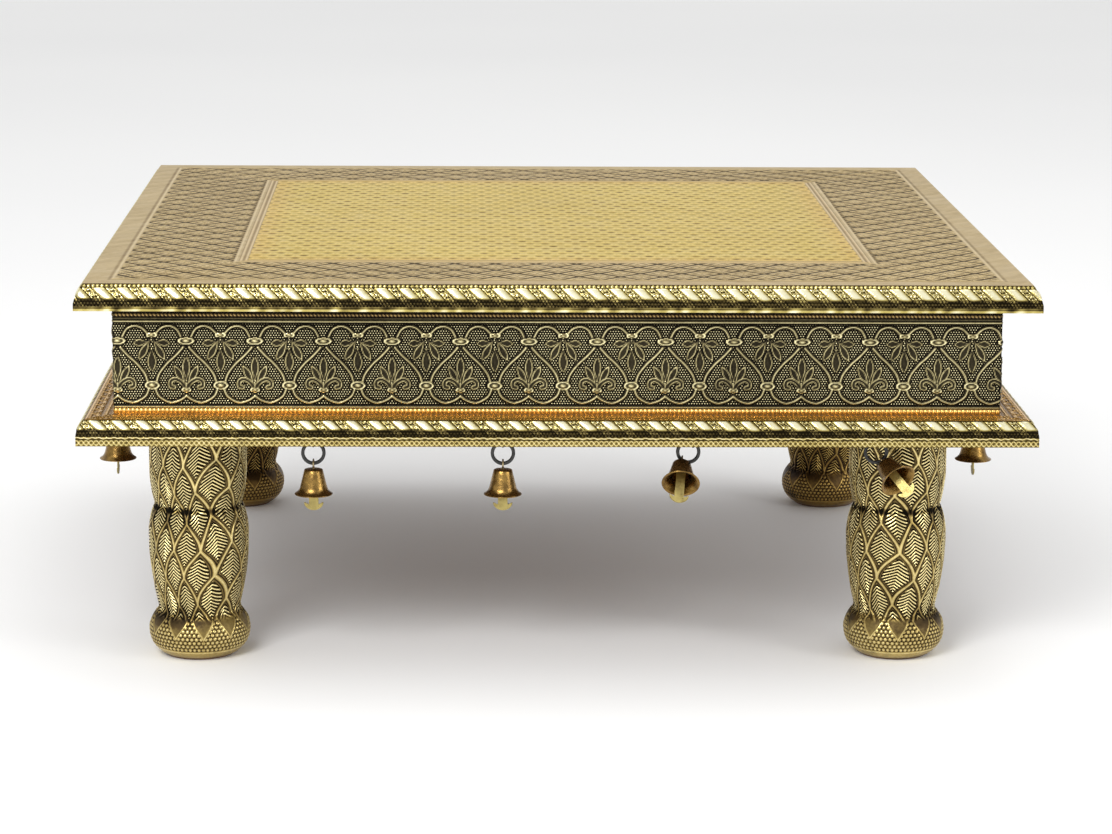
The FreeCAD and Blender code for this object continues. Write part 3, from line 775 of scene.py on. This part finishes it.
def rope(x, s, reach):
    """Slanted glossy leaves with a strip of rings between them, over a band that is reach wide.
    Returns height, brightness (a painted highlight on the upper part of the band, painted shade on the lower
    part) and how much is leaf."""
    q = (x - ROPE_SLANT * s * (1 + 0.03 * s)) / ROPE_PITCH
    q = q - np.floor(q)
    panel = np.clip(1 - ((q - 0.30) / 0.29) ** 2, 0, 1) ** 0.5
    # the lower end of each leaf is made lower and darker: a painted shadow under the roll
    panel = panel * (1 - 0.65 * smooth(0.55 * reach, 0.95 * reach, s + 2.0 * (q - 0.3)))
    line = np.maximum(ridge((q - 0.665) * ROPE_PITCH, 0.4), ridge((q - 0.945) * ROPE_PITCH, 0.4))
    ring_s = (s + 0.6) % 2.5 - 1.25
    away = np.hypot((q - 0.805) * ROPE_PITCH, ring_s)
    rings = np.maximum(ridge(away - 0.75, 0.42), ridge(away, 0.35))
    edges = smooth(0.0, 0.5, s) * smooth(reach, reach - 0.5, s)
    lift = np.maximum(0.7 * panel, 0.4 * np.maximum(line, rings)) * edges
    # painted shade below this level, painted highlight above it
    shade = reach * (0.60 + 0.06 * hollow_noise(9 * x, 3 * s, 17))
    lit = smooth(shade + 0.7, shade - 0.5, s)
    glow = panel * (0.03 + 0.88 * lit) + 0.25 * ridge(s - reach * 0.86, 0.7) * panel
    shine = np.maximum(glow, (0.30 + 0.65 * lit) * np.maximum(line, 0.95 * rings)) * edges
    return lift, shine, panel


def top_edge_height(x, s):
    """The top slab's edge: a bead row on the shoulder, the rope over the ovolo, a plain fillet."""
    lift, shine, panel = rope(x, s - 1.5, 8.5)
    beads = dome(np.hypot(from_nearest(x, EDGE_BEAD), s - 0.75) / 0.85)
    lift = np.maximum(lift, 0.45 * beads)
    shine = np.maximum(shine, 0.7 * beads)
    fillet = smooth(10.0, 10.4, s)
    hammer = 0.5 + 0.5 * hollow_noise(14 * x, 9 * s, 12)
    lift = lift - FOIL + fillet * (0.14 + 0.1 * hammer)
    shine = np.maximum(shine, fillet * (0.25 + 0.7 * hammer - 0.5 * ridge(s - 10.7, 0.5)))
    return 0.08 + 0.92 * shine, lift, 0.5 * (1 - panel) * (1 - fillet), 0 * x


def base_edge_height(x, s):
    """The base slab's edge: the rope, a wavy line and a braided lace over the straight band."""
    lift, shine, panel = rope(x + 3.0, s - 0.2, 7.4)
    ripple = 0.4 * np.sin(math.tau * x / 3.1) + 0.3 * np.sin(math.tau * x / 7.7)
    wave = ridge(s - 8.3 - ripple * 0.5, 0.4)
    lace_s = s - 10.4
    swing = np.sin(math.tau * x / 4.2)
    weave = np.minimum(np.abs(lace_s - swing), np.abs(lace_s + swing))
    lace = ridge(weave, 0.45) * smooth(8.9, 9.3, s)
    hem = ridge(s - 12.2, 0.4)
    lift = np.maximum(lift, 0.3 * np.maximum(wave, np.maximum(lace, hem))) - FOIL
    band = smooth(7.7, 8.0, s)
    shine = np.maximum(shine, band * np.maximum(0.95 * wave, np.maximum(0.25 + 0.55 * lace, 0.75 * hem)))
    shine = shine - 0.3 * ridge(s - 9.1, 0.35)
    return 0.06 + 0.94 * shine, lift, 0.45 * (1 - panel) * (1 - band), 0.12 * band + 0 * x


def ovolo_profile(ovolo, upper, under):
    """A slab's edge, top first: a rounded shoulder down to a straight band. As moulding_side reads it."""
    inset, drop, band, radius = ovolo
    arc = arc_points((TABLE_HALF - inset, upper - drop), (TABLE_HALF, under + band), radius, bulge=-1)
    points = np.vstack([arc, [[TABLE_HALF, under]]])
    points[:, 0] = TABLE_HALF - points[:, 0]
    run, tangent = even_run(points, ROPE_SPACING)
    return np.column_stack([run, -tangent[:, 1], -tangent[:, 0]])


def make_mouldings():
    top = ovolo_profile(TOP_OVOLO, TABLE_TOP, TOP_UNDER)
    base = ovolo_profile(BASE_OVOLO, BASE_TOP, BASE_UNDER)
    on_four_sides(
        ("top_rope", top, ROPE_COLUMNS, top_edge_height, ROPE_BRASS, "top_edge_cladding"),
        ("base_rope", base, ROPE_COLUMNS, base_edge_height, ROPE_BRASS, "base_edge_cladding"),
    )


# ---------- flat bands: base ledge, top border, trim

LEDGE_BEAD = 2.2
SCALLOP_PITCH = 9.8


def ledge_height(x, s):
    """The base slab's ledge under the apron: scallops of beads between two lines."""
    scallop = np.abs(np.sin(np.pi * x / SCALLOP_PITCH)) * 3.2
    curve = ridge(s - 2.4 - scallop, 0.7)
    lines = np.maximum(ridge(s - 8.6, 0.5), ridge(s - 1.0, 0.5))
    beads = dome(np.hypot(from_nearest(x, LEDGE_BEAD), (s - 0.4) % 3.2 - 1.6) / 0.95)
    raised = np.maximum(np.maximum(curve, lines), 0.8 * beads)
    # its colour level starts high, at 0.46: a painted reflection that brightens this ledge in the top slab's
    # shade
    return 0.46 + 0.55 * raised, 0.35 * raised - 0.25, 0.4 + 0 * s, 0.9 + 0 * s


LATTICE_PITCH = 17.6
BORDER_LINE = 11.6


def border_height(x, s):
    """The top's border: a plain outer strip, a thin line, then a lattice of diamonds, each filled with
    smaller ones."""
    depth = BORDER_HALF - TRIM_HALF
    zone = smooth(BORDER_LINE + 0.6, BORDER_LINE + 1.2, s) * smooth(depth - 2.0, depth - 2.6, s)
    across = x / LATTICE_PITCH
    up = (s - BORDER_LINE) / (0.5 * LATTICE_PITCH)
    first = np.abs((across + 0.5 * up) % 1 - 0.5)
    second = np.abs((across - 0.5 * up) % 1 - 0.5)
    net = (0.5 - np.maximum(first, second)) * LATTICE_PITCH * 0.62
    wander = hollow_noise(6 * x, 6 * s, 21)
    net = net + 0.15 * wander
    bars = np.maximum(ridge(net - 1.5, 0.8), ridge(net - 3.9, 0.8))
    nested = np.maximum(0.7 * ridge(net - 2.8, 0.7), 0.7 * smooth(4.6, 5.2, net))
    dark = np.maximum(smooth(1.15, 0.7, net), nested)
    lines = np.maximum(ridge(s - BORDER_LINE, 0.7), ridge(s - depth + 1.3, 0.7))
    raised = np.maximum(lines, zone * 0.85 * bars)
    grooves = np.maximum(ridge(s - BORDER_LINE + 1.5, 0.8), ridge(s - depth + 2.6, 0.8))
    dents = 0.05 * hollow_noise(15 * x, 13 * s, 23) * (1 - zone)
    relief = 0.62 + 0.30 * raised + dents - 0.74 * zone * dark - 0.35 * grooves + 0.10 * wander
    return relief, 0.30 * raised - FOIL + 0.02, 0.6 * zone, 0.12 + 0 * x


def trim_height(x, s):
    """The trim round the panel: two raised lines."""
    lines = np.maximum(ridge(s - 1.0, 0.8), ridge(s - 3.2, 0.8))
    return 0.35 + 0.6 * lines, 0.3 * lines - FOIL, 0 * s + 0 * x, 0.2 + 0 * x


def flat_band(start_half, end_half, level, spacing):
    """A level band from one half width in to another, as a moulding's profile."""
    count = max(3, int((start_half - end_half) / spacing))
    inset = np.linspace(TABLE_HALF - start_half, TABLE_HALF - end_half, count)
    return np.column_stack([inset, np.full(count, level), np.zeros(count), np.ones(count)])


def make_flat_bands():
    border = flat_band(BORDER_HALF, TRIM_HALF, TABLE_TOP, spacing=0.6)
    trim = flat_band(TRIM_HALF, PANEL_HALF, TABLE_TOP, spacing=0.33)
    ledge = flat_band(TABLE_HALF - BASE_OVOLO[0], APRON_HALF - SHEET_DEPTH, BASE_TOP, spacing=0.4)
    on_four_sides(
        ("top_border", border, 780, border_height, BORDER_BRASS, "top_border_sheet"),
        ("panel_trim", trim, 420, trim_height, BORDER_BRASS, "panel_trim"),
        ("base_ledge", ledge, 800, ledge_height, ROPE_BRASS, "base_edge_cladding"),
    )


PANEL_COLUMNS = 310
PANEL_BAR_X = 6.9
PANEL_BAR_Y = 7.4


def make_panel():
    """The centre panel: a fine stamped weave of small scales with short dark gaps between them."""
    line = np.linspace(-PANEL_HALF, PANEL_HALF, PANEL_COLUMNS)
    x, y = np.meshgrid(line, line)
    stagger = 0.5 * (np.floor(y / PANEL_BAR_Y) % 2)
    along = ((x / PANEL_BAR_X + stagger) % 1 - 0.5) * PANEL_BAR_X
    across = from_nearest(y, PANEL_BAR_Y)
    wander = hollow_noise(5 * x, 5 * y, 5)
    gap = np.clip(1 - oval(along, across, (0, 1.2), 2.3, 1.5) ** 2, 0, 1) ** 0.7
    scale = ridge(np.hypot(along, across + 1.2) - 2.6, 0.9)
    inward = PANEL_HALF - np.maximum(np.abs(x), np.abs(y))
    edge = smooth(0.0, 2.5, inward)
    depth = (-0.26 * gap - 0.05 + 0.05 * scale) * edge - 0.05 * (1 - edge)
    relief = 0.68 - (0.68 + 0.45 * wander) * gap + 0.2 * scale + 0.06 * hollow_noise(4 * x, 4 * y, 9)
    # a coppery tint towards the edges: a painted reflection
    warm = 0.22 * smooth(14.0, 0.0, inward)
    points = np.stack([x, y, TABLE_TOP + depth], -1)
    flat = np.stack([x, y, 0 * x], -1)
    piece = grid_piece("centre_panel_brass", points, relief, flat, 0.5, warm)
    finish_piece(piece, PANEL_BRASS, "table", "centre_panel")


# ---------- bells


def ring_faces(rings, sides, closed):
    """Quads between neighbouring rings of vertices, for vertices listed ring by ring."""
    faces = []
    for ring in range(rings if closed else rings - 1):
        after = (ring + 1) % rings
        for k in range(sides):
            m = (k + 1) % sides
            faces.append((ring * sides + k, ring * sides + m, after * sides + m, after * sides + k))
    return faces


def tube(path, radius, sides, closed=False):
    """Vertices and faces of a round wire along points, in millimetres."""
    path = np.array(path, float)
    count = len(path)
    if closed:
        tangent = np.roll(path, -1, 0) - np.roll(path, 1, 0)
    else:
        tangent = np.gradient(path, axis=0)
    tangent /= np.linalg.norm(tangent, axis=1)[:, None]
    normal = np.cross(tangent[0], (0.31, 0.52, 0.79))
    rings = []
    for point, direction in zip(path, tangent, strict=True):
        normal = normal - direction * (normal @ direction)
        normal /= np.linalg.norm(normal)
        side = np.cross(direction, normal)
        angles = np.arange(sides) / sides * math.tau
        rings.append(point + radius * (np.outer(np.cos(angles), normal) + np.outer(np.sin(angles), side)))
    faces = ring_faces(count, sides, closed)
    if not closed:
        faces.append(tuple(range(sides))[::-1])
        faces.append(tuple((count - 1) * sides + k for k in range(sides)))
    return np.vstack(rings), faces


LATHE_SIDES = 72
SHARP_ANGLE = math.radians(40)


def lathe(profile):
    """Vertices and faces of a closed profile of (radius, level) turned about Z."""
    vertices = []
    for k in range(LATHE_SIDES):
        a = math.tau * k / LATHE_SIDES
        vertices += [(r * math.cos(a), r * math.sin(a), z) for r, z in profile]
    faces = [(a, d, c, b) for a, b, c, d in ring_faces(LATHE_SIDES, len(profile), closed=True)]
    return np.array(vertices), faces


def solid_piece(name, parts, place, material, body, replaced):
    """One object from several (vertices, faces) in millimetres, put in place by a matrix in metres."""
    vertices, faces, base = [], [], 0
    for points, polygons in parts:
        vertices += [tuple(p * MM) for p in np.asarray(points)]
        faces += [tuple(base + i for i in polygon) for polygon in polygons]
        base += len(points)
    mesh = bpy.data.meshes.new(name)
    mesh.from_pydata(vertices, [], faces)
    mesh.transform(place)
    mesh.validate()
    mesh.shade_smooth()
    mesh.set_sharp_from_angle(angle=SHARP_ANGLE)
    finish_piece(link(mesh, name), material, body, replaced)


RING_RADIUS = 4.5
RING_WIRE = 0.4
# the ring's wire is this much wider in the ring's plane than it is thick
RING_FLATTENING = 1.8
HOOK_RADIUS = 1.8
HOOK_LEVEL = -0.2
HOOK_WIRE = 0.36
NECK_RADIUS = 0.25
NECK_TOP = -1.9
NECK_WIRE = 0.34
BELL_CROWN = -2.45
LOOP_RADIUS = 1.4
LOOP_LEVEL = BELL_CROWN - 1.9
LOOP_WIRE = 0.4
LOOP_POINTS = 28
BELL_PROFILE = [
    # outside, crown to lip, then inside back up to the crown
    (0.0, 0.0), (3.3, -0.05), (3.8, -0.2), (4.0, -0.5), (4.35, -2.0), (4.85, -4.0), (5.35, -6.0),
    (5.75, -7.6), (5.9, -8.1), (6.05, -8.5), (6.4, -9.2), (7.0, -9.9), (7.7, -10.4), (8.1, -10.65),
    (8.15, -10.85), (8.05, -11.0), (7.5, -11.0), (6.9, -10.6), (6.1, -9.8), (5.5, -8.9), (5.25, -7.9),
    (4.7, -5.8), (4.15, -3.6), (3.7, -1.7), (3.3, -0.8), (0.0, -0.6),
]


def split_ring(level):
    """A ring about a level on the axis: two close turns of flattened wire, as a split ring is wound."""
    angles = np.linspace(0.25, 4 * math.pi - 0.15, 120)
    shift = RING_WIRE * (2 * smooth(math.tau - 0.5, math.tau + 0.5, angles) - 1)
    path = np.stack([RING_RADIUS * np.sin(angles), shift, RING_RADIUS * np.cos(angles)], -1)
    vertices, faces = tube(path, RING_WIRE, 12)
    reach = np.hypot(vertices[:, 0], vertices[:, 2])
    flattened = (RING_RADIUS + (reach - RING_RADIUS) * RING_FLATTENING) / reach
    vertices[:, 0] *= flattened
    vertices[:, 2] *= flattened
    return vertices + np.array([0, 0, level]), faces


def wire_loop(radius, level, wire):
    """A closed loop of wire in the YZ plane about a level on the axis."""
    turns = [math.tau * k / LOOP_POINTS for k in range(LOOP_POINTS)]
    path = [(0.0, radius * math.sin(t), level + radius * math.cos(t)) for t in turns]
    return tube(path, wire, 10, closed=True)


def wire_neck():
    """The turn of wire that closes the bell's hook above its crown."""
    turns = np.linspace(0, math.tau, 20)
    coil = [(NECK_RADIUS * math.cos(t), NECK_RADIUS * math.sin(t), NECK_TOP - 0.1 * t) for t in turns]
    return tube(coil, NECK_WIRE, 8)


CLAPPER_HALF = 0.3
CLAPPER_CHAMFER = 0.12


def clapper_plate():
    """The clapper's plate about its pivot: a stem and a crescent, cut from sheet."""
    half, horn = 2.1, 4.15
    top, waist, tip, bottom = 1.45, -6.0, -11.3, -14.7
    turns = np.linspace(math.pi / 2, -math.pi / 2, 25)
    crescent = [(horn * math.sin(a), tip + (bottom - tip) * math.cos(a)) for a in turns]
    outline = [
        (-half, top - 0.6), (-half + 0.6, top), (half - 0.6, top), (half, top - 0.6),
        (half * 0.92, waist), (half, tip - 0.9), (horn - 0.5, tip - 0.15), *crescent,
        (-horn + 0.5, tip - 0.15), (-half, tip - 0.9), (-half * 0.92, waist),
    ]
    count = len(outline)
    inner = CLAPPER_HALF - CLAPPER_CHAMFER
    shrunk = 1 - CLAPPER_CHAMFER / 4
    layers = [(CLAPPER_HALF, shrunk), (inner, 1.0), (-inner, 1.0), (-CLAPPER_HALF, shrunk)]
    vertices = [(x * grow, y, z) for y, grow in layers for x, z in outline]
    faces = [tuple(range(count)), tuple(range(3 * count, 4 * count))[::-1]]
    faces += [(b, a, d, c) for a, b, c, d in ring_faces(len(layers), count, closed=False)]
    return np.array(vertices), faces


def hanging_frame(origin, x_axis, below):
    """A matrix with its origin at a pivot, -Z towards a point below it and X near the given axis."""
    z_axis = (Vector(origin) - Vector(below)).normalized()
    y_axis = z_axis.cross(Vector(x_axis)).normalized()
    matrix = Matrix((y_axis.cross(z_axis), y_axis, z_axis)).transposed().to_4x4()
    matrix.translation = Vector(origin)
    return matrix


# in metres, as the nodes' meshes are
CLAPPER_FAR = 0.0135


def clapper_end(name, pivot):
    """The far end of a clapper, from its node's mesh: the middle of all that is far from the pivot."""
    points = np.array([v.co for v in frame["nodes"][f"bell_clapper_{name}"].data.vertices])
    far = points[np.linalg.norm(points - np.array(pivot), axis=1) > CLAPPER_FAR]
    return Vector(far.mean(axis=0))


def make_bells():
    joints = {joint["child"]: joint for joint in frame["joints"]}
    names = [body[len("ring_"):] for body in frame["bodies"] if body.startswith("ring_")]
    cup = lathe([(r, z + BELL_CROWN) for r, z in BELL_PROFILE])
    loop = wire_loop(LOOP_RADIUS, LOOP_LEVEL, LOOP_WIRE)
    hook = wire_loop(HOOK_RADIUS, HOOK_LEVEL, HOOK_WIRE)
    for name in names:
        swing, tilt, clap = (joints[f"{kind}_{name}"] for kind in ("ring", "cup", "clapper"))
        ring_place = hanging_frame(swing["pos_m"], tilt["axis"], tilt["pos_m"])
        bell_place = hanging_frame(tilt["pos_m"], tilt["axis"], clap["pos_m"])
        clap_place = hanging_frame(clap["pos_m"], clap["axis"], clapper_end(name, clap["pos_m"]))
        drop = (Vector(swing["pos_m"]) - Vector(tilt["pos_m"])).length / MM
        ring = split_ring(RING_RADIUS - drop)
        for label, parts, place, material, body, slot, node in (
            ("split_ring", [ring], ring_place, RING_STEEL, "ring", "ring_steel", "bell_ring"),
            ("cast_bell", [cup, loop], bell_place, BELL_BRONZE, "cup", "bell_metal", "bell"),
            ("bell_hook", [hook, wire_neck()], bell_place, WIRE_BRASS, "cup", "bell_metal", "bell"),
            ("clapper_plate", [clapper_plate()], clap_place, CLAPPER_BRASS, "clapper", "clapper_brass",
             "bell_clapper"),
        ):
            solid_piece(f"{label}_{name}", parts, place, material, f"{body}_{name}", f"{node}_{name}")
    make_staples([joints[f"ring_{name}"] for name in names])


STAPLE_WIRE = 0.5
STAPLE_HALF = 2.2
STAPLE_BEND = 0.5
STAPLE_LEG = 5.0


def half_staple(bar, along, side):
    """One leg of a staple, from its upper end down and round its bend to the bar."""
    points = [(STAPLE_HALF, level) for level in np.linspace(STAPLE_LEG, STAPLE_BEND + 0.1, 6)]
    for a in np.linspace(0, math.pi / 2, 5):
        points.append((STAPLE_HALF - STAPLE_BEND * (1 - math.cos(a)), STAPLE_BEND * (1 - math.sin(a))))
    return [bar + along * (side * out) + Vector((0, 0, level)) for out, level in points]


def make_staples(swings):
    """One U of wire per bell, driven up into the underside."""
    parts = []
    for swing in swings:
        bar, along = Vector(swing["pos_m"]) / MM, Vector(swing["axis"])
        path = half_staple(bar, along, -1) + half_staple(bar, along, 1)[::-1]
        parts.append(tube([tuple(point) for point in path], STAPLE_WIRE, 10))
    solid_piece("wire_staples", parts, Matrix.Identity(4), RING_STEEL, "table", "bell_staples")


# ---------- studio

LIGHT_AIM = (0, 0, 0.08)
# name, place, size in metres and power in watts
LIGHTS = (
    ("key", (-0.6, -1.4, 1.1), 0.7, 18.0),
    ("top", (0.3, 0.4, 1.9), 1.2, 7.0),
    ("side", (1.5, -1.0, 0.7), 0.6, 6.0),
)


def make_studio():
    bpy.ops.mesh.primitive_plane_add(size=30)
    floor = bpy.context.object
    floor.name = "floor"
    n = Nodes("studio_floor")
    tone = n.noise(0.8, 2, 0.5)
    n.shade("Base Color", n.ramp(tone, [(0.3, (0.88, 0.88, 0.88)), (0.7, (0.92, 0.92, 0.915))]))
    n.shade("Roughness", 0.7)
    floor.data.materials.append(n.material)
    world = bpy.data.worlds.new("studio")
    bpy.context.scene.world = world
    world.use_nodes = True
    background = world.node_tree.nodes["Background"]
    background.inputs["Color"].default_value = (1, 1, 1, 1)
    background.inputs["Strength"].default_value = 0.85
    for name, place, size, power in LIGHTS:
        lamp = bpy.data.lights.new(name, "AREA")
        lamp.energy = power
        lamp.size = size
        light = bpy.data.objects.new(name, lamp)
        bpy.context.scene.collection.objects.link(light)
        light.location = place
        light.rotation_mode = "QUATERNION"
        light.rotation_quaternion = (Vector(LIGHT_AIM) - Vector(place)).to_track_quat("-Z", "Y")


CAMERA_PLACE = (-0.0423, -1.6693, 0.4036)
CAMERA_YAW = 0.0279
CAMERA_DOWN = 0.1943
CAMERA_ROLL = 0.0070
CAMERA_LENS = 115.15


def make_camera():
    data = bpy.data.cameras.new("camera")
    camera = bpy.data.objects.new("camera", data)
    bpy.context.scene.collection.objects.link(camera)
    ahead = Vector((
        math.sin(CAMERA_YAW) * math.cos(CAMERA_DOWN), math.cos(CAMERA_YAW) * math.cos(CAMERA_DOWN),
        -math.sin(CAMERA_DOWN),
    ))
    right = Vector((math.cos(CAMERA_YAW), -math.sin(CAMERA_YAW), 0))
    up = right.cross(ahead)
    rolled_right = right * math.cos(CAMERA_ROLL) + up * math.sin(CAMERA_ROLL)
    rolled_up = up * math.cos(CAMERA_ROLL) - right * math.sin(CAMERA_ROLL)
    matrix = Matrix((rolled_right, rolled_up, -ahead)).transposed().to_4x4()
    matrix.translation = Vector(CAMERA_PLACE)
    camera.matrix_world = matrix
    data.lens = CAMERA_LENS
    data.sensor_width = 36.0
    data.clip_start = 0.05
    data.clip_end = 100.0
    bpy.context.scene.camera = camera


bpy.context.scene.view_settings.view_transform = "Standard"
make_camera()
dress_bare_nodes()
make_apron()
for leg_name in LEG_NAMES:
    make_leg(leg_name)
make_mouldings()
make_flat_bands()
make_panel()
make_bells()
make_studio()
